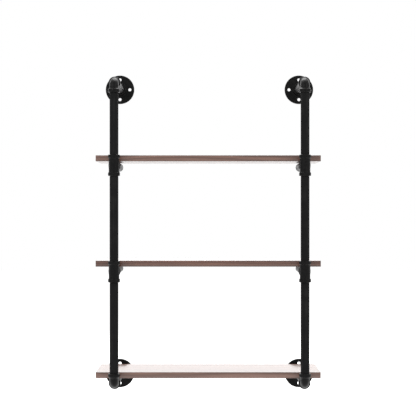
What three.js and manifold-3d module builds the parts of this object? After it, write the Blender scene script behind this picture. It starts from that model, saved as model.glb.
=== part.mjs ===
// A wall shelf: three boards on two ladders of threaded iron pipe, each hung on two wall flanges.
// Millimetres, +Z up, +X to the right as seen from the front. The wall is the plane y = 0 and the
// front faces -Y. The origin lies on the wall, midway between the ladders, level with the bottom arms.

import * as THREE from 'three';
import { mergeVertices } from 'three/addons/utils/BufferGeometryUtils.js';
import Module from 'manifold-3d';

const wasm = await Module();
wasm.setup();

// Clearances
const fitGap = 0.3; // between pieces that screw into or rest on each other
const overrun = 2; // how far a cutting shape passes the face that it opens

// Layout of the frame
const lowerRise = 344.3; // bottom arm to middle arm
const middleRise = 325.2; // middle arm to upper arm
const upperRise = 255.5; // upper arm to top arm

// Pipe of the 3/4 inch nominal size
const pipeDiameter = 26.7;
const pipeWall = 2.9;
const shelfArmLength = 190.5; // the pipe behind a tee, which stops short of the wall

// Malleable iron elbows and tees
const fittingReach = 32.5; // from the centre to each mouth
const socketDepth = 11.5; // how far the pipe screws in
const bodyDiameter = 32.3; // of a tee, behind the bands
const bendDiameter = 28; // round the turn of an elbow
const fittingWall = 3.2;
const bandDiameter = 36.6; // the thick band round each mouth
const bandLength = 9;
const bandTaper = 2.6; // length of the slope from a tee's body up to the band
const bendTaper = 8; // the same on an elbow, from inside its wall
const bandEase = 1.1; // chamfer at the mouth

// Cast wall flanges
const flangeDiameter = 93;
const flangeRim = 4.8; // straight part of the edge
const flangeThickness = 6;
const flangeEase = 1.2; // chamfer round the front edge
const flangeHeight = 22; // from the wall to the front of the hub
const hubFootDiameter = 46; // where the plate turns up into the hub
const hubNeckDiameter = 39.5;
const hubNeckHeight = 11; // where the neck becomes straight
const hubFrontDiameter = 37.5;
const hubEase = 1.4;
const boltCircle = 64.4;
const boltHoleDiameter = 10;
const boltHoleCount = 4;

// Boards
const boardWidth = 695;
const boardOverhang = 55.5; // past the axis of a run, with the board in the middle
const boardDepth = 200;
const boardThickness = 18.5;
const boardSetback = 35; // from the axis of the runs to the front edge
const boardBackGap = 1; // from the back edge to the hubs of the flanges
const boardShift = -4; // the boards lie a little to the left
const boardCorner = 2.5;
const boardEase = 0.8;

// Wood screws that pass up through an arm into its board
const screwDiameter = 4.5;
const screwLength = 40;
const screwPoint = 6;
const screwHeadDiameter = 8.6;
const screwHeadHeight = 2.7;
const screwHeadEase = 1.3;
const screwInset = 55; // from the front edge of the board
const screwPlugGap = 17.6; // from the axis of a rear screw to the plug behind it
const pilotSpare = 1; // the blind hole runs on past the point

// Push-in plugs in the open ends of the shelf arms
const plugCap = 2.2;
const plugStem = 12;
const plugEase = 0.7;

// Number of flat faces round each form
const pipeFacets = 16;
const flangeFacets = 28;
const holeFacets = 8;
const bendSteps = 5;
const easeSteps = 1;
const cornerSteps = 3;

// Sizes that follow from those above
const quarterTurn = Math.PI / 2;
const pipeRadius = pipeDiameter / 2;
const pipeBoreRadius = pipeRadius - pipeWall;
const socketRadius = pipeRadius + fitGap;
const socketFloor = fittingReach - socketDepth;
const passageRadius = bendDiameter / 2 - fittingWall;
const pipeStart = socketFloor + fitGap; // from a fitting's centre to the end of the pipe in it
const restHeight = pipeRadius + fitGap; // from an arm's axis to the underside of its board
const screwHoleRadius = screwDiameter / 2 + fitGap;
const runSpacing = boardWidth - 2 * boardOverhang; // between the axes of the two vertical runs
const wallToRun = flangeHeight + boardBackGap + boardDepth + boardSetback;
const boardMiddleY = -wallToRun + boardSetback + boardDepth / 2;
const armFront = -wallToRun + pipeStart;
const longArmBack = -(flangeHeight - socketDepth + fitGap);
const shelfArmBack = armFront + shelfArmLength;
const screwPlaces = {
  front: -wallToRun + boardSetback + screwInset,
  rear: shelfArmBack + fitGap - plugStem - screwPlugGap,
};
const heights = {
  bottom: 0,
  middle: lowerRise,
  upper: lowerRise + middleRise,
  top: lowerRise + middleRise + upperRise,
};

// Finishes
const paintedIron = { color: 0x242527, roughness: 0.5, metalness: 0.35 };
const darkSteel = { color: 0x2b2b2c, roughness: 0.4, metalness: 0.8 };
const blackPlastic = { color: 0x1b1b1c, roughness: 0.6, metalness: 0 };
const walnut = { color: 0x7b6058, roughness: 0.35, metalness: 0 };

// The centre line of an elbow: a straight lead up, a quarter turn, and a straight lead to the wall.
class BendLine extends THREE.Curve {
  constructor(radius, lead) {
    super();
    this.radius = radius;
    this.lead = lead;
  }

  getPoint(share, target = new THREE.Vector3()) {
    const arc = this.radius * quarterTurn;
    const along = share * (arc + 2 * this.lead) - this.lead;
    const angle = THREE.MathUtils.clamp(along / this.radius, 0, quarterTurn);
    const back = this.radius * (1 - Math.cos(angle)) + Math.max(along - arc, 0);
    const up = this.radius * (Math.sin(angle) - 1) + Math.min(along, 0);
    return target.set(0, back, up);
  }
}

// Leaves out the triangles that have shrunk to a line, as at the poles of a revolved shape.
function openTriangles(index) {
  const kept = [];
  for (let i = 0; i < index.length; i += 3) {
    const corners = index.slice(i, i + 3);
    if (new Set(corners).size === 3) kept.push(...corners);
  }
  return new Uint32Array(kept);
}

function toSolid(geometry) {
  const bare = geometry.clone();
  bare.deleteAttribute('normal');
  bare.deleteAttribute('uv');
  const welded = mergeVertices(bare);
  const vertProperties = welded.attributes.position.array;
  const triVerts = openTriangles(welded.index.array);
  return new wasm.Manifold(new wasm.Mesh({ numProp: 3, vertProperties, triVerts }));
}

function toGeometry(solid) {
  const { vertProperties, triVerts } = solid.getMesh();
  const geometry = new THREE.BufferGeometry();
  geometry.setAttribute('position', new THREE.BufferAttribute(vertProperties, 3));
  geometry.setIndex(new THREE.BufferAttribute(triVerts, 1));
  geometry.computeVertexNormals();
  return geometry;
}

// Joins the first shapes, takes the others away, and gives the geometry of what is left.
function build(added, removed = []) {
  let solid = added.map(toSolid).reduce((whole, piece) => whole.add(piece));
  for (const tool of removed) solid = solid.subtract(toSolid(tool));
  return toGeometry(solid);
}

// Revolves pairs of radius and height about the Y axis. The heights rise along the outside.
function revolve(profile, facets) {
  const points = profile.map(([radius, height]) => new THREE.Vector2(radius, height));
  return new THREE.LatheGeometry(points, facets);
}

// Turns a shape that was revolved about Y so that it stands along Z.
const upright = (geometry) => geometry.rotateX(quarterTurn);

// The slope up to a band, from a radius and over a length, then the band and the face. The two ends of
// a fitting mirror each other, so one outline gives either from its sign.
function bandProfile(sign, radius, taper) {
  const bandRadius = bandDiameter / 2;
  return [
    [radius, sign * (fittingReach - bandLength - taper)],
    [bandRadius, sign * (fittingReach - bandLength)],
    [bandRadius, sign * (fittingReach - bandEase)],
    [bandRadius - bandEase, sign * fittingReach],
    [0, sign * fittingReach],
  ];
}

// The wider hollow at a mouth that the pipe screws into.
function socketHollow() {
  return revolve([
    [0, socketFloor],
    [socketRadius, socketFloor],
    [socketRadius, fittingReach + overrun],
    [0, fittingReach + overrun],
  ], pipeFacets);
}

// A round bar along the elbow's centre line. Its leads are as long as one step of the turn.
function bend(radius) {
  const section = new THREE.Shape().absarc(0, 0, radius, 0, 4 * quarterTurn);
  const extrudePath = new BendLine(socketFloor, (socketFloor * quarterTurn) / bendSteps);
  return new THREE.ExtrudeGeometry(section, {
    steps: bendSteps + 2,
    curveSegments: pipeFacets / 2,
    extrudePath,
  });
}

// One mouth of an elbow, whose slope comes up out of the turn.
function elbowMouth() {
  const slope = bandProfile(1, passageRadius, bendTaper);
  return revolve([[0, fittingReach - bandLength - bendTaper], ...slope], pipeFacets);
}

// An elbow with one mouth straight down and one straight back to the wall.
function elbowGeometry() {
  const downward = (geometry) => geometry.rotateX(-quarterTurn);
  return build(
    [bend(bendDiameter / 2), elbowMouth(), downward(elbowMouth())],
    [bend(passageRadius), socketHollow(), downward(socketHollow())],
  );
}

// The hollow of a tee's branch: the passage from the run, then the socket.
function branchHollow() {
  return revolve([
    [0, 0],
    [passageRadius, 0],
    [passageRadius, socketFloor],
    [socketRadius, socketFloor],
    [socketRadius, fittingReach + overrun],
    [0, fittingReach + overrun],
  ], pipeFacets);
}

// The hollow of a tee's run, open at both ends.
function runHollow() {
  return revolve([
    [0, -fittingReach - overrun],
    [socketRadius, -fittingReach - overrun],
    [socketRadius, -socketFloor],
    [passageRadius, -socketFloor],
    [passageRadius, socketFloor],
    [socketRadius, socketFloor],
    [socketRadius, fittingReach + overrun],
    [0, fittingReach + overrun],
  ], pipeFacets);
}

// A tee with its run upright and its branch towards the wall.
function teeGeometry() {
  const radius = bodyDiameter / 2;
  const [lower, upper] = [-1, 1].map((sign) => bandProfile(sign, radius, bandTaper));
  const run = revolve([...lower.reverse(), ...upper], pipeFacets);
  const branch = revolve([[0, 0], [radius, 0], ...upper], pipeFacets);
  return build([upright(run), branch], [upright(runHollow()), branchHollow()]);
}

// A pipe along Y with its middle at the origin.
function pipeGeometry(length) {
  const half = length / 2;
  return revolve([
    [pipeBoreRadius, -half],
    [pipeRadius, -half],
    [pipeRadius, half],
    [pipeBoreRadius, half],
    [pipeBoreRadius, -half],
  ], pipeFacets);
}

// An arm of pipe between two places along Y, drilled right through for the screws of its board.
function armGeometry(front, back, drilled) {
  const middle = (front + back) / 2;
  const pipe = pipeGeometry(back - front).translate(0, middle, 0);
  const holes = (drilled ? Object.values(screwPlaces) : []).map((place) => {
    const drill = new THREE.CylinderGeometry(
      screwHoleRadius, screwHoleRadius, pipeDiameter + 2 * overrun, holeFacets);
    return upright(drill).translate(0, place, 0);
  });
  return build([pipe], holes);
}

// A flange with its back on the wall and its hub towards the front.
function flangeGeometry() {
  const rim = flangeDiameter / 2;
  const body = revolve([
    [0, 0],
    [rim, 0],
    [rim, flangeRim],
    [rim - flangeEase, flangeThickness],
    [hubFootDiameter / 2, flangeThickness],
    [hubNeckDiameter / 2, hubNeckHeight],
    [hubFrontDiameter / 2, flangeHeight - hubEase],
    [hubFrontDiameter / 2 - hubEase, flangeHeight],
    [0, flangeHeight],
  ], flangeFacets);
  const floor = flangeHeight - socketDepth;
  const bore = revolve([
    [0, -overrun],
    [passageRadius, -overrun],
    [passageRadius, floor],
    [socketRadius, floor],
    [socketRadius, flangeHeight + overrun],
    [0, flangeHeight + overrun],
  ], pipeFacets);
  const boltHoles = Array.from({ length: boltHoleCount }, (_, i) => {
    const radius = boltHoleDiameter / 2;
    const drill = new THREE.CylinderGeometry(radius, radius, 2 * (flangeThickness + overrun), holeFacets);
    return drill.translate(0, 0, boltCircle / 2).rotateY((i * 4 * quarterTurn) / boltHoleCount);
  });
  return build([body], [bore, ...boltHoles]).rotateX(2 * quarterTurn);
}

// A board with rounded corners and eased edges, its underside at z = 0 and its middle at the origin,
// with blind holes for the screws that come up through the arms.
function boardGeometry() {
  const [halfWidth, halfDepth] = [boardWidth / 2 - boardEase, boardDepth / 2 - boardEase];
  const corners = [[1, -1], [1, 1], [-1, 1], [-1, -1]];
  const outline = new THREE.Shape();
  corners.forEach(([right, back], i) => {
    const x = right * (halfWidth - boardCorner);
    const y = back * (halfDepth - boardCorner);
    outline.absarc(x, y, boardCorner, (i - 1) * quarterTurn, i * quarterTurn, false);
  });
  const panel = new THREE.ExtrudeGeometry(outline, {
    depth: boardThickness - 2 * boardEase,
    bevelThickness: boardEase,
    bevelSize: boardEase,
    bevelSegments: easeSteps,
    curveSegments: cornerSteps,
  }).translate(0, 0, boardEase);
  const pilotDepth = screwLength - 2 * restHeight + pilotSpare;
  const pilots = [];
  for (const side of [-1, 1]) {
    for (const place of Object.values(screwPlaces)) {
      const length = pilotDepth + overrun;
      const drill = new THREE.CylinderGeometry(screwHoleRadius, screwHoleRadius, length, holeFacets);
      const x = (side * runSpacing) / 2 - boardShift;
      pilots.push(upright(drill).translate(x, place - boardMiddleY, length / 2 - overrun));
    }
  }
  return build([panel], pilots);
}

// A round-headed wood screw, the bearing face of its head at the origin and its point up.
function screwGeometry() {
  const [shank, head] = [screwDiameter / 2, screwHeadDiameter / 2];
  const screw = revolve([
    [0, -screwHeadHeight],
    [head - screwHeadEase, -screwHeadHeight],
    [head, screwHeadEase - screwHeadHeight],
    [head, 0],
    [shank, 0],
    [shank, screwLength - screwPoint],
    [0, screwLength],
  ], holeFacets);
  return build([upright(screw)]);
}

// A plug whose stem points to the front and whose cap covers the end of the pipe.
function plugGeometry() {
  const stem = pipeBoreRadius - fitGap;
  const plug = revolve([
    [0, -plugStem],
    [stem - plugEase, -plugStem],
    [stem, plugEase - plugStem],
    [stem, 0],
    [pipeRadius, 0],
    [pipeRadius, plugCap - plugEase],
    [pipeRadius - plugEase, plugCap],
    [0, plugCap],
  ], pipeFacets);
  return build([plug]);
}

const flange = flangeGeometry();
const elbow = elbowGeometry();
const tee = teeGeometry();
const plug = plugGeometry();
const screw = screwGeometry();
const board = boardGeometry();
const arms = {
  bottom: armGeometry(armFront, longArmBack, true),
  middle: armGeometry(armFront, shelfArmBack, true),
  upper: armGeometry(armFront, shelfArmBack, true),
  top: armGeometry(armFront, longArmBack, false),
};

function add(group, name, geometry, finish, y, z) {
  const mesh = new THREE.Mesh(geometry, new THREE.MeshStandardMaterial(finish));
  mesh.name = name;
  mesh.position.set(0, y, z);
  group.add(mesh);
  return mesh;
}

// One ladder: flanges, arms, elbows, tees and risers, with the screws of its three boards.
function ladder(side) {
  const group = new THREE.Group();
  for (const level of ['bottom', 'top']) {
    add(group, `${side}_${level}_flange`, flange, paintedIron, 0, heights[level]);
    add(group, `${side}_${level}_arm`, arms[level], paintedIron, 0, heights[level]);
    const corner = add(group, `${side}_${level}_elbow`, elbow, paintedIron, -wallToRun, heights[level]);
    if (level === 'bottom') corner.rotation.y = 2 * quarterTurn;
  }
  for (const level of ['middle', 'upper']) {
    add(group, `${side}_${level}_tee`, tee, paintedIron, -wallToRun, heights[level]);
    add(group, `${side}_${level}_arm`, arms[level], paintedIron, 0, heights[level]);
    add(group, `${side}_${level}_arm_plug`, plug, blackPlastic, shelfArmBack + fitGap, heights[level]);
  }
  for (const [name, from, to] of [
    ['lower', 'bottom', 'middle'],
    ['middle', 'middle', 'upper'],
    ['upper', 'upper', 'top'],
  ]) {
    const length = heights[to] - heights[from] - 2 * pipeStart;
    const riser = build([upright(pipeGeometry(length))]);
    add(group, `${side}_${name}_riser`, riser, paintedIron, -wallToRun, (heights[from] + heights[to]) / 2);
  }
  for (const level of ['bottom', 'middle', 'upper']) {
    for (const [end, place] of Object.entries(screwPlaces)) {
      add(group, `${side}_${level}_${end}_screw`, screw, darkSteel, place, heights[level] - restHeight);
    }
  }
  return group;
}

const shelf = new THREE.Group();
for (const [side, sign] of [['left', -1], ['right', 1]]) {
  const group = ladder(side);
  group.position.x = (sign * runSpacing) / 2;
  shelf.add(group);
}
for (const level of ['bottom', 'middle', 'upper']) {
  const panel = add(shelf, `${level}_board`, board, walnut, boardMiddleY, heights[level] + restHeight);
  panel.position.x = boardShift;
}

export default shelf;
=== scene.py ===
import math

import bmesh
import bpy
import numpy as np
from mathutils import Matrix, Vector


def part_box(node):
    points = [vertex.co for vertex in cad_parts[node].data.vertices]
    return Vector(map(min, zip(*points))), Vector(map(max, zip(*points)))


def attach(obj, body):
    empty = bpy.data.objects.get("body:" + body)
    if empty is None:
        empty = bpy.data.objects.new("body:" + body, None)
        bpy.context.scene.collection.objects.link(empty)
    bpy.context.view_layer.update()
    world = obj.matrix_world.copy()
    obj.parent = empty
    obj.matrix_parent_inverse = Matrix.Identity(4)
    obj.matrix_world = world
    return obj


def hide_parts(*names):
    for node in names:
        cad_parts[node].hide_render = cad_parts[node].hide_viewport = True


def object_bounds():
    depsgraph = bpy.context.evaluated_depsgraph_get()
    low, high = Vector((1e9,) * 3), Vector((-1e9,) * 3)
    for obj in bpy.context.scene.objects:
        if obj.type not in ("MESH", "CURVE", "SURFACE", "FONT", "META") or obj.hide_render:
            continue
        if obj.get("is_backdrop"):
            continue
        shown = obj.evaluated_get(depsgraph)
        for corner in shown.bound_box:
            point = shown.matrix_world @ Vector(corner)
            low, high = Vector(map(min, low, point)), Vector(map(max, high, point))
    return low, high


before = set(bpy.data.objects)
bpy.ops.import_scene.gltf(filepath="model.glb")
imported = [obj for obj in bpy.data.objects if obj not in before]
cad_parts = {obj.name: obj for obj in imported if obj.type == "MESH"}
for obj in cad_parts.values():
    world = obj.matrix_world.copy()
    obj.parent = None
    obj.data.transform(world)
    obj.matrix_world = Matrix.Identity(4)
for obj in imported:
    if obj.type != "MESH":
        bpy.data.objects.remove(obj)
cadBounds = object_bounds()
print("stage: packed model loaded")

mm = 0.001
fullTurn = 2 * math.pi
quarterTurn = math.pi / 2


# Places and sizes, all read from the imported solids

def middle(node):  # the middle of a node's box
    low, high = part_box(node)
    return (np.array(low) + np.array(high)) / 2


def span(node, axis):  # the lowest and highest place of a node along one axis
    low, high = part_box(node)
    return low[axis], high[axis]


def fittingCentre(side, level):  # where the axis of a run meets the axis of an arm
    run = middle(f"{side}_middle_riser")
    arm = middle(f"{side}_{level}_arm")
    return np.array([run[0], run[1], arm[2]])


def camelName(node):
    first, *others = node.split("_")
    return first + "".join(word.capitalize() for word in others)


def halfWidth(node):
    low, high = span(node, 0)
    return (high - low) / 2


runAxis = middle("left_middle_riser")[1]
pipeRadius = halfWidth("left_middle_riser")
bandRadius = halfWidth("left_middle_tee")
fittingReach = span("left_middle_tee", 1)[1] - runAxis
pipeStart = span("left_middle_arm", 1)[0] - runAxis  # from a fitting's centre to the pipe screwed into it
pipeSeat = fittingReach - pipeStart  # length of the pipe inside a fitting


# Camera, level and square to the wall

camera = {"place": (-0.0047, -3.981, 0.539), "lens": 105.4, "sensor": 36.0}

cameraData = bpy.data.cameras.new("camera")
cameraData.lens = camera["lens"]
cameraData.sensor_width = camera["sensor"]
cameraObject = bpy.data.objects.new("camera", cameraData)
cameraObject.location = camera["place"]
cameraObject.rotation_euler = (quarterTurn, 0, 0)
bpy.context.scene.collection.objects.link(cameraObject)
bpy.context.scene.camera = cameraObject
print("stage: camera")


# Shader expressions

class Wire:  # one socket; an expression on it adds its Math nodes
    def __init__(self, shader, socket):
        self.shader = shader
        self.socket = socket

    def math(self, operation, *others):
        return self.shader.node("ShaderNodeMath", {"operation": operation}, dict(enumerate((self, *others))))

    def __add__(self, other):
        return self.math("ADD", other)

    def __sub__(self, other):
        return self.math("SUBTRACT", other)

    def __rsub__(self, other):
        return self.math("MULTIPLY", -1.0) + other

    def __mul__(self, other):
        return self.math("MULTIPLY", other)

    def __truediv__(self, other):
        return self.math("DIVIDE", other)

    def __pow__(self, other):
        return self.math("POWER", other)

    __radd__ = __add__
    __rmul__ = __mul__

    def clamped(self):
        return self.math("MAXIMUM", 0.0).math("MINIMUM", 1.0)

    def between(self, low, high):  # 0 under low, 1 over high, smooth from one to the other
        inputs = {"Value": self, "From Min": low, "From Max": high}
        return self.shader.node("ShaderNodeMapRange", {"interpolation_type": "SMOOTHSTEP"}, inputs)


class Shader:  # the node tree of a material or of the world
    def __init__(self, owner):
        owner.use_nodes = True
        self.tree = owner.node_tree
        self.tree.nodes.clear()

    def node(self, kind, settings=None, inputs=None, output=0):
        added = self.tree.nodes.new(kind)
        for key, value in (settings or {}).items():
            if key == "stops":
                self.setStops(added.color_ramp, value)
            else:
                setattr(added, key, value)
        for key, value in (inputs or {}).items():
            if isinstance(value, Wire):
                self.tree.links.new(value.socket, added.inputs[key])
            else:
                added.inputs[key].default_value = value
        return Wire(self, added.outputs[output]) if added.outputs else None

    def setStops(self, ramp, stops):
        ramp.elements[0].position = stops[0][0]
        ramp.elements[-1].position = stops[-1][0]
        for place, _ in stops[1:-1]:
            ramp.elements.new(place)
        for element, (_, tint) in zip(ramp.elements, stops):
            element.color = opaque(tint)

    def place(self, scale=(1, 1, 1), shift=(0, 0, 0)):  # object coordinates, shifted and then scaled
        coordinates = self.node("ShaderNodeTexCoord", output="Object")
        shifted = self.node("ShaderNodeVectorMath", {"operation": "ADD"}, {0: coordinates, 1: shift})
        return self.node("ShaderNodeVectorMath", {"operation": "MULTIPLY"}, {0: shifted, 1: scale})

    def noise(self, vector, scale=1.0, detail=3.0, roughness=0.5):
        inputs = {"Vector": vector, "Scale": scale, "Detail": detail, "Roughness": roughness}
        return self.node("ShaderNodeTexNoise", None, inputs)

    def bend(self):  # how sharply the surface bends outwards, written by writeBend
        return self.node("ShaderNodeAttribute", {"attribute_name": "bend"}, output="Fac")

    def mix(self, factor, first, second):  # two colours
        return self.node("ShaderNodeMix", {"data_type": "RGBA"}, {0: factor, 6: first, 7: second}, output=2)

    def ramp(self, value, stops):
        return self.node("ShaderNodeValToRGB", {"stops": stops}, {"Fac": value})

    def relief(self, height, strength, distance):
        inputs = {"Height": height, "Strength": strength, "Distance": distance}
        return self.node("ShaderNodeBump", None, inputs)

    def surface(self, inputs):
        principled = self.node("ShaderNodeBsdfPrincipled", None, inputs)
        self.node("ShaderNodeOutputMaterial", None, {"Surface": principled})


def opaque(tint):
    return (*tint, 1.0)


# Finishes of the iron, where a noise is given by its scale, detail and roughness

noiseMean = 0.5

pipePaint = {
    "black": (0.0085, 0.0085, 0.0087), "dusty": (0.0145, 0.0144, 0.0142), "worn": (0.032, 0.031, 0.030),
    "riser": {"roughness": 0.62, "specular": 0.04}, "arm": {"roughness": 0.42, "specular": 0.20},
    "streakScale": 260, "streakLengthScale": 5, "streakDetail": 4.0,
    "patches": (35.0, 4.0, 0.6), "peel": (900, 2.0), "grit": (2600.0, 1.0),
    "dust": (0.2, 0.42), "wear": (260, 900), "wearPatches": (0.35, 0.6), "wearShare": 0.7,
    "roughByPatches": 0.16, "roughByGrit": 0.06, "smoothByWear": 0.1,
    "streakRelief": 0.6, "gritRelief": 0.25, "reliefStrength": 0.5, "reliefDepth": 0.02 * mm,
}


def makePipePaint(name, axis, gloss):  # satin black over drawn tube, with faint streaks along it
    look = pipePaint
    material = bpy.data.materials.new(name)
    s = Shader(material)
    scale = [look["streakScale"]] * 3
    scale[axis] = look["streakLengthScale"]
    streaks = s.noise(s.place(scale), detail=look["streakDetail"])
    patches = s.noise(s.place(), *look["patches"])
    peel = s.noise(s.place(), *look["peel"])
    grit = s.noise(s.place(), *look["grit"])
    dust = (patches * streaks).between(*look["dust"])
    wear = s.bend().between(*look["wear"]) * patches.between(*look["wearPatches"])
    painted = s.mix(dust, opaque(look["black"]), opaque(look["dusty"]))
    roughness = gloss["roughness"] + (patches - noiseMean) * look["roughByPatches"]
    roughness = roughness + grit * look["roughByGrit"] - wear * look["smoothByWear"]
    height = peel + streaks * look["streakRelief"] + grit * look["gritRelief"]
    s.surface({
        "Base Color": s.mix(wear * look["wearShare"], painted, opaque(look["worn"])),
        "Roughness": roughness,
        "Specular IOR Level": gloss["specular"],
        "Normal": s.relief(height, look["reliefStrength"], look["reliefDepth"]),
    })
    return material


castPaint = {
    "fitting": {"black": (0.0018, 0.0018, 0.0019), "dusty": (0.0048, 0.0047, 0.0046), "specular": 0.10},
    "flange": {"black": (0.0032, 0.0032, 0.0033), "dusty": (0.0080, 0.0079, 0.0077), "specular": 0.08},
    "worn": (0.042, 0.040, 0.038), "roughness": 0.40,
    "sand": (620, 3.0, 0.6), "lumps": (140, 2.0), "pits": (900, 1.0), "patches": (60.0, 4.0, 0.6),
    "pitted": (0.66, 0.74), "dust": (0.46, 0.62),
    "wear": (180, 480), "wearPatches": (0.4, 0.62), "wearShare": 0.6,
    "roughBySand": 0.3, "roughByPits": 0.1,
    "lumpRelief": 1.6, "pitRelief": 0.7, "reliefStrength": 0.55, "reliefDepth": 0.05 * mm,
}


def makeCastPaint(name, tone):  # the same paint over sand-cast iron: pebbled, with small pits
    look = castPaint
    material = bpy.data.materials.new(name)
    s = Shader(material)
    sand = s.noise(s.place(), *look["sand"])
    lumps = s.noise(s.place(), *look["lumps"])
    pits = s.noise(s.place(), *look["pits"]).between(*look["pitted"])
    patches = s.noise(s.place(), *look["patches"])
    dust = (lumps * 0.5 + sand * 0.5).between(*look["dust"])
    wear = s.bend().between(*look["wear"]) * patches.between(*look["wearPatches"])
    painted = s.mix(dust, opaque(tone["black"]), opaque(tone["dusty"]))
    roughness = look["roughness"] + (sand - noiseMean) * look["roughBySand"] + pits * look["roughByPits"]
    height = sand + lumps * look["lumpRelief"] - pits * look["pitRelief"]
    s.surface({
        "Base Color": s.mix(wear * look["wearShare"], painted, opaque(look["worn"])),
        "Roughness": roughness,
        "Specular IOR Level": tone["specular"],
        "Normal": s.relief(height, look["reliefStrength"], look["reliefDepth"]),
    })
    return material


# Finish of the boards, where a noise is given by its scales along and across, detail and roughness

walnut = {
    "stops": (
        (0.00, (0.046, 0.022, 0.015)),
        (0.32, (0.094, 0.046, 0.034)),
        (0.58, (0.150, 0.077, 0.057)),
        (1.00, (0.228, 0.125, 0.094)),
    ),
    "drift": ((1.6, 7, 7), 3.0), "clouds": ((2.5, 22, 22), 3.0), "grain": ((7, 150, 150), 5.0, 0.62),
    "fibres": ((9, 420, 420), 4.0, 0.6), "pores": ((55, 1500, 1500), 2.0),
    "ringWidth": 7.5 * mm, "driftRings": 4.0, "ringPower": 3.0,
    "lateWood": (0.25, 0.65), "pored": (0.60, 0.70),
    "tone": {"clouds": 0.50, "grain": 0.85, "fibres": 0.45, "lateWood": 0.40, "pores": 0.26, "edge": 0.22},
    "relief": {"fibres": 0.5, "pores": 0.8, "lateWood": 0.3, "strength": 0.35, "depth": 0.05 * mm},
    "roughness": 0.36, "roughByPores": 0.2, "roughByFibres": 0.12, "specular": 0.3,
    "coat": 0.7, "coatRoughness": 0.20,
    "edge": (0.4 * mm, 4.0 * mm),  # the tone is darker along the long edges
}


def makeWalnut(name, centre, half, heart, shade, stain, seed):
    # The growth rings lie round a heart line that runs along X.
    look, weight, relief = walnut, walnut["tone"], walnut["relief"]
    material = bpy.data.materials.new(name)
    s = Shader(material)

    def layer(key):  # one noise of the wood, moved by the seed
        scale, *rest = look[key]
        return s.noise(s.place(scale, (seed, 0, 0)), 1.0, *rest)

    across = s.place((0, 1, 1), (0, -centre[1] - heart[0], -centre[2] - heart[1]))
    distance = s.node("ShaderNodeVectorMath", {"operation": "LENGTH"}, {0: across}, output="Value")
    turns = distance / look["ringWidth"] + layer("drift") * look["driftRings"]
    rings = (turns * fullTurn).math("SINE") * 0.5 + 0.5
    clouds, grain, fibres = layer("clouds"), layer("grain"), layer("fibres")
    pores = layer("pores").between(*look["pored"])
    lateWood = (rings ** look["ringPower"]) * grain.between(*look["lateWood"])
    tone = clouds * weight["clouds"] + grain * weight["grain"] + fibres * weight["fibres"]
    tone = tone - lateWood * weight["lateWood"] - pores * weight["pores"] + shade
    inward = s.place((0, 1, 1), (0, -centre[1], -centre[2]))
    inward = s.node("ShaderNodeVectorMath", {"operation": "ABSOLUTE"}, {0: inward})
    inward = s.node("ShaderNodeVectorMath", {"operation": "SUBTRACT"}, {0: inward, 1: (0, half[1], half[2])})
    fromEdge = s.node("ShaderNodeVectorMath", {"operation": "LENGTH"}, {0: inward}, output="Value")
    # the tone goes darker within 4 mm of each long edge
    edge = 1 - fromEdge.between(*look["edge"])
    stops = [(place, np.multiply(tint, stain)) for place, tint in look["stops"]]
    roughness = look["roughness"] + pores * look["roughByPores"]
    roughness = roughness + (fibres - noiseMean) * look["roughByFibres"]
    height = fibres * relief["fibres"] - pores * relief["pores"] - lateWood * relief["lateWood"]
    s.surface({
        "Base Color": s.ramp((tone - edge * weight["edge"]).clamped(), stops),
        "Roughness": roughness,
        "Specular IOR Level": look["specular"],
        "Normal": s.relief(height, relief["strength"], relief["depth"]),
        "Coat Weight": look["coat"],
        "Coat Roughness": look["coatRoughness"],
    })
    return material


# Finishes of the small pieces

smallFinishes = {
    "blackZinc": {
        "dark": (0.05, 0.05, 0.052), "light": (0.11, 0.105, 0.10), "metallic": 0.85,
        "clouds": (300.0, 3.0), "clouded": (0.35, 0.7), "fine": (1400.0, 2.0),
        "roughness": 0.3, "roughByFine": 0.2, "reliefStrength": 0.3, "reliefDepth": 0.02 * mm,
    },
    "mattPlastic": {
        "dark": (0.012, 0.012, 0.0125), "light": (0.020, 0.020, 0.020), "metallic": 0.0,
        "clouds": (90.0, 3.0), "clouded": (0.3, 0.7), "fine": (1800.0, 2.0),
        "roughness": 0.55, "roughByFine": 0.15, "reliefStrength": 0.4, "reliefDepth": 0.03 * mm,
    },
}


def makeSmallFinish(name):  # two close tones in clouds, under a fine relief
    look = smallFinishes[name]
    material = bpy.data.materials.new(name)
    s = Shader(material)
    fine = s.noise(s.place(), *look["fine"])
    clouds = s.noise(s.place(), *look["clouds"]).between(*look["clouded"])
    s.surface({
        "Base Color": s.mix(clouds, opaque(look["dark"]), opaque(look["light"])),
        "Metallic": look["metallic"],
        "Roughness": look["roughness"] + fine * look["roughByFine"],
        "Normal": s.relief(fine, look["reliefStrength"], look["reliefDepth"]),
    })
    return material


armPaint = makePipePaint("armPaint", 1, pipePaint["arm"])
riserPaint = makePipePaint("riserPaint", 2, pipePaint["riser"])
fittingPaint = makeCastPaint("fittingPaint", castPaint["fitting"])
flangePaint = makeCastPaint("flangePaint", castPaint["flange"])
zinc = makeSmallFinish("blackZinc")
plastic = makeSmallFinish("mattPlastic")
print("stage: finishes")


# Meshes

meshLimits = {"merge": 0.002 * mm, "sharpAngle": math.radians(40)}


def gridFaces(rows, columns, closeRows=False, closeColumns=False):  # quads between neighbours in a grid
    row = np.arange(rows if closeRows else rows - 1)
    column = np.arange(columns if closeColumns else columns - 1)
    r, c = np.meshgrid(row, column, indexing="ij")
    nextRow, nextColumn = (r + 1) % rows, (c + 1) % columns
    corners = ((r, c), (nextRow, c), (nextRow, nextColumn), (r, nextColumn))
    return np.stack([(i * columns + j).ravel() for i, j in corners], axis=1)


def readOut(items, name, width, kind=np.float32):
    values = np.empty(len(items) * width, kind)
    items.foreach_get(name, values)
    return values.reshape(-1, width)


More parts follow.
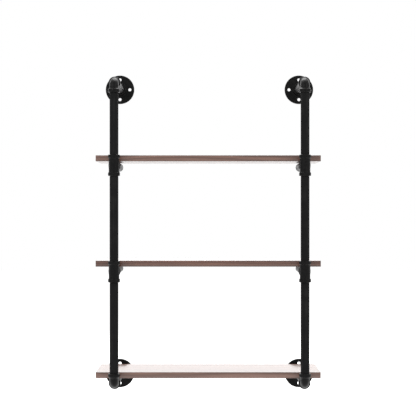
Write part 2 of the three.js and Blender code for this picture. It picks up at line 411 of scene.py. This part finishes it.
def writeBend(mesh):
    # Bend at a vertex v with normal n, in 1/m: the mean of 2 n . (v - u) / |v - u|^2 over its neighbours u,
    # which is the mean curvature there, above zero where the surface is convex. It is then smoothed once.
    place, normal = readOut(mesh.vertices, "co", 3), readOut(mesh.vertices, "normal", 3)
    ends = readOut(mesh.edges, "vertices", 2, np.int32)
    near, far = np.concatenate([ends, ends[:, ::-1]]).T
    step = place[near] - place[far]
    count = np.maximum(np.bincount(near, minlength=len(place)), 1)
    turn = 2 * (normal[near] * step).sum(axis=1) / (step * step).sum(axis=1)
    bend = np.bincount(near, turn, len(place)) / count
    bend = (bend + np.bincount(near, bend[far], len(place)) / count) / 2
    mesh.attributes.new("bend", "FLOAT", "POINT").data.foreach_set("value", bend.astype(np.float32))


def addPiece(node, points, faces, material, slot):
    mesh = bpy.data.meshes.new(camelName(node))
    mesh.from_pydata(points.tolist(), [], faces.tolist())
    shape = bmesh.new()
    shape.from_mesh(mesh)
    bmesh.ops.remove_doubles(shape, verts=shape.verts, dist=meshLimits["merge"])
    bmesh.ops.recalc_face_normals(shape, faces=shape.faces)
    shape.to_mesh(mesh)
    shape.free()
    mesh.shade_smooth()
    mesh.set_sharp_from_angle(angle=meshLimits["sharpAngle"])
    writeBend(mesh)
    mesh.materials.append(material)
    piece = bpy.data.objects.new(camelName(node), mesh)
    bpy.context.scene.collection.objects.link(piece)
    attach(piece, "root")
    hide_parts(node)


def revolved(radius, height, segments, thread=0, pitch=1):
    # (r cos a, r sin a, h): a profile carried round the Z axis, closed on itself. thread is the depth of a
    # helix at each point of the profile, and may be zero. pitch is its rise in a turn.
    angle = np.linspace(0, fullTurn, segments, endpoint=False)[:, None]
    depth = thread * np.abs(((height / pitch - angle / fullTurn) % 1) * 2 - 1)
    r = radius - depth
    points = np.stack([r * np.cos(angle), r * np.sin(angle), height + 0 * angle], axis=-1)
    return points.reshape(-1, 3), gridFaces(segments, len(radius), True, True)


def alongY(points):  # a shape made along Z, laid along Y
    return points[:, [1, 2, 0]]


def smoothStep(value):
    value = np.clip(value, 0, 1)
    return value * value * (3 - 2 * value)


# Pipes

pipe = {
    "wall": 2.9 * mm, "pitch": 1.814 * mm, "threadDepth": 0.95 * mm, "threadSteps": 8, "segments": 64,
    "shown": 4.2 * mm,  # thread that fades out beside a fitting
    "freeThread": 17 * mm, "freeFade": 5 * mm, "endEase": 0.5 * mm, "cell": 12 * mm, "leastCells": 4,
}


def pipeSurface(low, high, freeEnd):
    # The outside is the plain radius less the helix, whose depth fades out over a few turns. The bore runs
    # back inside it, so that the two ends are rings.
    length = high - low
    front = pipeSeat + pipe["shown"]
    back = pipe["freeThread"] if freeEnd else front
    step = pipe["pitch"] / pipe["threadSteps"]
    cells = max(int(length / pipe["cell"]), pipe["leastCells"])
    plain = np.linspace(front, length - back, cells, endpoint=False)
    s = np.concatenate([np.arange(0, front, step), plain, np.arange(length - back, length, step), [length]])
    fade = pipe["freeFade"] if freeEnd else pipe["shown"]
    cut = np.clip((front - s) / pipe["shown"], 0, 1) + np.clip((s - length + back) / fade, 0, 1)
    ease = np.clip(pipe["endEase"] - np.minimum(s, length - s), 0, None)
    radius = np.append(pipeRadius - ease, [pipeRadius - pipe["wall"]] * 2)
    height = np.append(s, [length, 0]) + low
    thread = np.append(np.clip(cut, 0, 1) * pipe["threadDepth"], [0, 0])
    return revolved(radius, height, pipe["segments"], thread, pipe["pitch"])


def addPipe(node, axis, freeEnd=False):
    points, faces = pipeSurface(*span(node, axis), freeEnd)
    centre = middle(node)
    centre[axis] = 0
    standing = axis == 2
    points = points if standing else alongY(points)
    addPiece(node, points + centre, faces, riserPaint if standing else armPaint, "pipe")


for side in ("left", "right"):
    for part in ("lower", "middle", "upper"):
        addPipe(f"{side}_{part}_riser", 2)
    for level in ("bottom", "top"):
        addPipe(f"{side}_{level}_arm", 1)
    for level in ("middle", "upper"):
        addPipe(f"{side}_{level}_arm", 1, freeEnd=True)
print("stage: pipes")


# Elbows

fitting = {
    "bodyRadius": 16.15 * mm, "passageRadius": 10.8 * mm, "socketGap": 0.3 * mm, "lip": 1.2 * mm,
    "bandLength": 9 * mm, "bandTaper": 3.0 * mm, "edge": 1.5 * mm,
    "faceRounding": 1.5,  # at the faces of a tee, times the edge
    "bendRadius": 14 * mm, "bendTaper": 5 * mm,
    "segments": 72, "turnSteps": 28, "edgeSteps": 7, "taperSteps": 13,
}

socketRadius = pipeRadius + fitting["socketGap"]
socketDepth = pipeSeat + fitting["socketGap"]
turnRadius = fittingReach - socketDepth
quarter = np.linspace(0, quarterTurn, fitting["edgeSteps"])


def mouthOutside():  # depth behind the face and radius: rounded edge, band, slope to the turn
    edge, taper, radius = fitting["edge"], fitting["bendTaper"], fitting["bendRadius"]
    share = np.linspace(0, 1, fitting["taperSteps"])
    depth = np.concatenate([edge * (1 - np.cos(quarter)), fitting["bandLength"] + share * taper])
    rounded = bandRadius - edge * (1 - np.sin(quarter))
    slope = bandRadius + (radius - bandRadius) * smoothStep(share)
    return depth, np.concatenate([rounded, slope])


def mouthInside():  # rounded lip, threaded hollow, and the step down to the passage
    lip = fitting["lip"]
    depth = np.concatenate([lip * (1 - np.cos(quarter)), [socketDepth, socketDepth]])
    rounded = socketRadius + lip * (1 - np.sin(quarter))
    return depth, np.concatenate([rounded, [socketRadius, fitting["passageRadius"]]])


def elbowSurface():
    # Rings of radius r(t) on a centre line that runs straight up, turns a quarter and runs straight back:
    # outside from mouth to mouth, then back inside. A ring stands square to the line.
    length = 2 * socketDepth + turnRadius * quarterTurn
    outDepth, outRadius = mouthOutside()
    inDepth, inRadius = mouthInside()
    body = np.linspace(outDepth[-1], length - outDepth[-1], fitting["turnSteps"])[1:-1]
    passage = np.linspace(inDepth[-1], length - inDepth[-1], fitting["turnSteps"])[1:-1]
    bodyRadius = np.full(len(body), fitting["bendRadius"])
    passageRadius = np.full(len(passage), fitting["passageRadius"])
    outside = [outDepth, body, length - outDepth[::-1]]
    inside = [length - inDepth, passage[::-1], inDepth[::-1]]
    t = np.concatenate(outside + inside)
    radius = np.concatenate([outRadius, bodyRadius, outRadius[::-1], inRadius, passageRadius, inRadius[::-1]])
    angle = np.clip((t - socketDepth) / turnRadius, 0, quarterTurn)
    rest = t - socketDepth - turnRadius * angle
    y = turnRadius * (1 - np.cos(angle)) + np.sin(angle) * rest
    z = turnRadius * (np.sin(angle) - 1) + np.cos(angle) * rest
    a = np.linspace(0, fullTurn, fitting["segments"], endpoint=False)[:, None]
    out = radius * np.cos(a)
    points = np.stack([radius * np.sin(a), y + out * np.cos(angle), z - out * np.sin(angle)], axis=-1)
    return points.reshape(-1, 3), gridFaces(fitting["segments"], len(t), True, True)


elbowPoints, elbowFaces = elbowSurface()
for side in ("left", "right"):
    for level, up in (("top", 1), ("bottom", -1)):
        points = elbowPoints * (up, 1, up) + fittingCentre(side, level)
        addPiece(f"{side}_{level}_elbow", points, elbowFaces, fittingPaint, "fitting")
print("stage: elbows")


# Tees and flanges, whose forms run into each other over wide fillets

skinning = {
    "margin": 1.5, "longestStep": 0.3,  # both in cells
    "rounds": 5, "nudge": 0.05 * mm, "leastSlope": 0.25,
}


def softMin(a, b, width):  # the smaller of two fields, rounded over a width where they meet
    share = np.clip(0.5 + 0.5 * (b - a) / width, 0, 1)
    return b + (a - b) * share - width * share * (1 - share)


def softMax(a, b, width):
    return -softMin(-a, -b, width)


def skin(field, low, high, cell):
    # One vertex in each cell that the surface field = 0 crosses, at the mean of the crossings on its edges,
    # and one quad round each crossed edge. Then every vertex steps down the slope on to the surface.
    margin, nudge = skinning["margin"] * cell, skinning["nudge"]
    longest = skinning["longestStep"] * cell
    axes = [np.arange(a - margin, b + margin, cell) for a, b in zip(low, high)]
    corner = np.stack(np.meshgrid(*axes, indexing="ij"), axis=-1)
    value = field(*np.moveaxis(corner, -1, 0))
    shape = tuple(n - 1 for n in value.shape)
    total, count = np.zeros((*shape, 3)), np.zeros(shape)
    crossedEdges = []
    for axis in range(3):
        one, two = [k for k in range(3) if k != axis]
        step = np.eye(3, dtype=int)[axis]
        start = tuple(slice(0, n - d) for n, d in zip(value.shape, step))
        end = tuple(slice(d, None) for d in step)
        crossed = (value[start] < 0) != (value[end] < 0)
        share = np.where(crossed, value[start] / np.where(crossed, value[start] - value[end], 1), 0)
        place = (corner[start] + share[..., None] * cell * step) * crossed[..., None]
        for corners in np.ndindex(2, 2):
            part = [slice(None)] * 3
            part[one] = slice(corners[0], corners[0] + shape[one])
            part[two] = slice(corners[1], corners[1] + shape[two])
            count += crossed[tuple(part)]
            total += place[tuple(part)]
        crossedEdges.append((one, two, np.argwhere(crossed)))
    used = count > 0
    number = np.full(shape, -1)
    number[used] = np.arange(used.sum())
    points = total[used] / count[used][:, None]
    faces = []
    for one, two, cells in crossedEdges:
        ring = np.repeat(cells[None], 4, axis=0)
        ring[[1, 2], :, one] -= 1
        ring[[2, 3], :, two] -= 1
        faces.append(number[tuple(np.moveaxis(ring, -1, 0))].T)
    for _ in range(skinning["rounds"]):
        ahead = np.stack([field(*(points + nudge * axis).T) for axis in np.eye(3)], axis=1)
        behind = np.stack([field(*(points - nudge * axis).T) for axis in np.eye(3)], axis=1)
        slope = (ahead - behind) / (2 * nudge)
        size = np.maximum((slope * slope).sum(axis=1), skinning["leastSlope"])
        step = np.clip(field(*points.T) / size, -longest, longest)
        points = points - slope * step[:, None]
    return points, np.concatenate(faces)


tee = {"cell": 0.75 * mm, "fillet": 3.2 * mm}


def mouthField(along, across):  # the body, rising to the band, cut off at the face
    start = fittingReach - fitting["bandLength"] - fitting["bandTaper"]
    rise = smoothStep((along - start) / fitting["bandTaper"])
    radius = fitting["bodyRadius"] + (bandRadius - fitting["bodyRadius"]) * rise
    return softMax(across - radius, along - fittingReach, fitting["faceRounding"] * fitting["edge"])


def socketField(along, across, face):  # the hollow that a pipe screws into
    return np.maximum(across - socketRadius, face - socketDepth - along)


def teeField(x, y, z):  # run along Z, branch along +Y, all hollow
    acrossRun, acrossBranch = np.hypot(x, y), np.hypot(x, z)
    branch = np.maximum(mouthField(y, acrossBranch), -y)
    body = softMin(mouthField(np.abs(z), acrossRun), branch, tee["fillet"])
    passage = fitting["passageRadius"]
    hollow = np.minimum(acrossRun - passage, np.maximum(acrossBranch - passage, -y))
    hollow = np.minimum(hollow, socketField(np.abs(z), acrossRun, fittingReach))
    hollow = np.minimum(hollow, socketField(y, acrossBranch, fittingReach))
    return softMax(body, -hollow, fitting["lip"])


lowest = (-bandRadius, -bandRadius, -fittingReach)
highest = (bandRadius, fittingReach, fittingReach)
teePoints, teeFaces = skin(teeField, lowest, highest, tee["cell"])
for side in ("left", "right"):
    for level in ("middle", "upper"):
        points = teePoints + fittingCentre(side, level)
        addPiece(f"{side}_{level}_tee", points, teeFaces, fittingPaint, "fitting")
print("stage: tees")

flange = {
    "radius": halfWidth("left_top_flange"), "height": -span("left_top_flange", 1)[0],
    "thickness": 6 * mm, "rimEdge": 2.0 * mm, "hubFoot": 19.6 * mm, "hubFront": 18.75 * mm,
    "hubEdge": 2.0 * mm, "fillet": 4.5 * mm, "boltCircle": 32.2 * mm, "holeRadius": 5 * mm,
    "holeEdge": 0.9 * mm, "cell": 0.85 * mm,
}


def flangeField(x, y, z):  # back on y = 0, hub towards -Y
    height, across = -y, np.hypot(x, z)
    plate = softMax(across - flange["radius"], height - flange["thickness"], flange["rimEdge"])
    taper = flange["hubFoot"] + (flange["hubFront"] - flange["hubFoot"]) * height / flange["height"]
    hub = softMax(across - taper, height - flange["height"], flange["hubEdge"])
    body = np.maximum(softMin(plate, hub, flange["fillet"]), -height)
    hollow = np.minimum(across - fitting["passageRadius"], socketField(height, across, flange["height"]))
    for right, up in ((1, 0), (-1, 0), (0, 1), (0, -1)):
        hole = np.hypot(x - right * flange["boltCircle"], z - up * flange["boltCircle"])
        hollow = np.minimum(hollow, hole - flange["holeRadius"])
    return softMax(body, -hollow, flange["holeEdge"])


rim = flange["radius"]
flangePoints, flangeFaces = skin(flangeField, (-rim, -flange["height"], -rim), (rim, 0, rim), flange["cell"])
for side in ("left", "right"):
    for level in ("bottom", "top"):
        points = flangePoints + middle(f"{side}_{level}_flange") * (1, 0, 1)
        addPiece(f"{side}_{level}_flange", points, flangeFaces, flangePaint, "flange")
print("stage: flanges")


# Boards

board = {
    "round": np.array([1.0, 0.7, 0.45]) * mm,  # how far the rounding reaches in from each side
    "roundSteps": 5, "cell": 9 * mm, "leastPlaces": 2, "seedStep": 3.7,
    "heart": {"bottom": (0.060, -0.045), "middle": (-0.075, 0.060), "upper": (0.020, -0.110)},
    "shade": {"bottom": -0.20, "middle": -0.50, "upper": -0.31},
    "stain": {"bottom": (1, 1, 1), "middle": (1, 0.87, 0.79), "upper": (1, 1, 1)},
}


def linePlaces(half, rounding):  # places along one side: close together over the rounding, even between
    ease = rounding * (1 - np.cos(np.linspace(0, quarterTurn, board["roundSteps"])))
    count = max(int(2 * (half - rounding) / board["cell"]), board["leastPlaces"])
    flat = np.linspace(-half + rounding, half - rounding, count)
    return np.concatenate([-half + ease[:-1], flat, half - ease[-2::-1]])


def boardSurface(low, high):
    # Six sides of a box as grids. A point p goes to q + R d / |d| with d = (p - q) / R, where q is the
    # nearest point of the box that is smaller by the rounding R, so that edges and corners become round.
    half, centre = (high - low) / 2, (high + low) / 2
    points, faces, first = [], [], 0
    for axis in range(3):
        one, two = [k for k in range(3) if k != axis]
        u, v = np.meshgrid(*[linePlaces(half[k], board["round"][k]) for k in (one, two)], indexing="ij")
        for end in (-1, 1):
            side = np.empty((*u.shape, 3))
            side[..., one], side[..., two], side[..., axis] = u, v, end * half[axis]
            points.append(side.reshape(-1, 3))
            faces.append(gridFaces(*u.shape) + first)
            first += u.size
    p = np.concatenate(points)
    q = np.clip(p, board["round"] - half, half - board["round"])
    d = (p - q) / board["round"]
    return q + board["round"] * d / np.linalg.norm(d, axis=1)[:, None] + centre, np.concatenate(faces)


for number, level in enumerate(("bottom", "middle", "upper")):
    node = f"{level}_board"
    low, high = (np.array(corner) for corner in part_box(node))
    heart, shade, stain = (board[key][level] for key in ("heart", "shade", "stain"))
    half, seed = (high - low) / 2, board["seedStep"] * (number + 1)
    wood = makeWalnut(f"{level}Walnut", middle(node), half, heart, shade, stain, seed)
    addPiece(node, *boardSurface(low, high), wood, "board")
print("stage: boards")


# Screws and plugs

screw = {
    "segments": 64, "headHeight": 2.7 * mm, "domeSteps": 26, "domeShare": 0.8, "shank": 2.25 * mm,
    "pitch": 1.814 * mm, "threadSteps": 8, "threadDepth": 0.5 * mm, "point": 6 * mm,
    "recess": 1.6 * mm, "recessTaper": 0.6,
    "slotHalf": 0.6 * mm, "slotReach": 2.4 * mm, "slotSoftness": 0.3 * mm, "reachSoftness": 0.5 * mm,
}


def screwSurface(node):  # axis up and head below: dome with a cross recess, bearing face, thread, point
    low, high = span(node, 2)
    headRadius, headHeight, shank = halfWidth(node), screw["headHeight"], screw["shank"]
    dome = np.linspace(0, quarterTurn, screw["domeSteps"])
    steps = np.arange(headHeight, high - low, screw["pitch"] / screw["threadSteps"])
    taper = np.clip((high - low - steps) / screw["point"], 0, 1)
    radius = np.concatenate([headRadius * np.sin(dome), [headRadius], shank * taper, [0]])
    domeHeight = screw["domeShare"] * headHeight * (1 - np.cos(dome))
    height = np.concatenate([domeHeight, [headHeight], steps, [high - low]])
    thread = np.concatenate([0 * dome, [0], screw["threadDepth"] * taper, [0]])
    points, faces = revolved(radius, height, screw["segments"], thread, screw["pitch"])
    x, y, z = points.T
    small, large = np.minimum(np.abs(x), np.abs(y)), np.maximum(np.abs(x), np.abs(y))
    cross = smoothStep((screw["slotHalf"] - small) / screw["slotSoftness"] + 0.5)
    cross = cross * smoothStep((screw["slotReach"] - large) / screw["reachSoftness"])
    depth = cross * screw["recess"] * np.clip(1 - screw["recessTaper"] * large / screw["slotReach"], 0, 1)
    z = z + np.where(z < headHeight / 2, depth, 0)
    return np.stack([x, y, z + low], axis=1), faces


plug = {
    "cap": 2.2 * mm, "ease": 1.1 * mm, "gap": 0.3 * mm, "ribs": 4, "ribDepth": 0.5 * mm,
    "ribSteps": 49, "faceRing": 0.5, "segments": 64,
}


def plugSurface(node):  # ribbed stem inside the pipe, and a cap with a rounded rim outside it
    low, high = span(node, 1)
    top, cap, ease = high - low, plug["cap"], plug["ease"]
    share = np.linspace(0, 1, plug["ribSteps"])
    stem = pipeRadius - pipe["wall"] - plug["gap"]
    ribs = stem - plug["ribDepth"] * np.abs(np.sin(share * plug["ribs"] * math.pi))
    rounded = pipeRadius - ease * (1 - np.cos(quarter))
    radius = np.concatenate([[0], ribs, rounded, [plug["faceRing"] * pipeRadius, 0]])
    height = np.concatenate([[0], share * (top - cap), top - ease * (1 - np.sin(quarter)), [top, top]])
    height[len(ribs) + 1] = top - cap
    return revolved(radius, height + low, plug["segments"])


for side in ("left", "right"):
    for level in ("bottom", "middle", "upper"):
        for end in ("front", "rear"):
            node = f"{side}_{level}_{end}_screw"
            points, faces = screwSurface(node)
            addPiece(node, points + middle(node) * (1, 1, 0), faces, zinc, "screw")
    for level in ("middle", "upper"):
        node = f"{side}_{level}_arm_plug"
        points, faces = plugSurface(node)
        addPiece(node, alongY(points) + middle(node) * (1, 0, 1), faces, plastic, "plug")
print("stage: screws and plugs")


# Floor, world and lamps

studio = {
    "floorDrop": 0.35, "floorHalf": 14, "floorColour": (0.8, 0.8, 0.8), "floorGlow": 0.62,
    "surround": 0.80, "target": (0, -0.13, 0.46),
    "key": {"place": (-2.0, -2.6, 2.6), "size": (2.6, 2.6), "power": 48},
    "fill": {"place": (2.4, -2.4, 2.6), "size": (2.6, 2.6), "power": 46},
    "back": {"place": (0.0, 4.2, 2.4), "size": (7.0, 3.6), "power": 102},
    "top": {"place": (0.0, 1.1, 3.0), "size": (2.0, 1.3), "power": 84},
}
white = opaque((1, 1, 1))


def shownTo(s):  # 1 for the rays of the camera, of reflections and through glass
    rays = ("Camera", "Glossy", "Transmission")
    eye, mirror, glass = (s.node("ShaderNodeLightPath", output=f"Is {ray} Ray") for ray in rays)
    return (eye + mirror + glass).clamped()


def makeFloorPaint(name):  # matt, with a glow for the eye and reflections, so that it shows as white
    material = bpy.data.materials.new(name)
    s = Shader(material)
    shown = shownTo(s)
    matt = s.node("ShaderNodeBsdfDiffuse", None, {"Color": opaque(studio["floorColour"])})
    lift = s.node("ShaderNodeEmission", None, {"Color": white, "Strength": shown * studio["floorGlow"]})
    both = s.node("ShaderNodeAddShader", None, {0: matt, 1: lift})
    s.node("ShaderNodeOutputMaterial", None, {"Surface": both})
    return material


def addFloor():
    half = studio["floorHalf"]
    height = cadBounds[0][2] - studio["floorDrop"]
    corners = [(-half, -half, height), (half, -half, height), (half, half, height), (-half, half, height)]
    mesh = bpy.data.meshes.new("floor")
    mesh.from_pydata(corners, [], [(0, 1, 2, 3)])
    mesh.materials.append(makeFloorPaint("paleFloor"))
    floor = bpy.data.objects.new("floor", mesh)
    bpy.context.scene.collection.objects.link(floor)
    floor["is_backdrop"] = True


def addWorld():  # white to the eye and in reflections, but a little darker as light on the object
    world = bpy.data.worlds.new("studio")
    s = Shader(world)
    bpy.context.scene.world = world
    strength = studio["surround"] + shownTo(s) * (1 - studio["surround"])
    background = s.node("ShaderNodeBackground", None, {"Color": white, "Strength": strength})
    s.node("ShaderNodeOutputWorld", None, {"Surface": background})


def addLamp(name):
    look = studio[name]
    lamp = bpy.data.lights.new(name, "AREA")
    lamp.shape = "RECTANGLE"
    lamp.size, lamp.size_y = look["size"]
    lamp.energy = look["power"]
    lampObject = bpy.data.objects.new(name, lamp)
    lampObject.location = look["place"]
    direction = Vector(studio["target"]) - Vector(look["place"])
    lampObject.rotation_euler = direction.to_track_quat("-Z", "Y").to_euler()
    lampObject.visible_camera = False
    bpy.context.scene.collection.objects.link(lampObject)


addFloor()
addWorld()
for name in ("key", "fill", "back", "top"):
    addLamp(name)
bpy.context.scene.view_settings.view_transform = "Standard"
print("stage: floor, world and lamps")

boxes = {"cad": cadBounds, "visual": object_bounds()}
{name: [list(map(float, corner)) for corner in box] for name, box in boxes.items()}
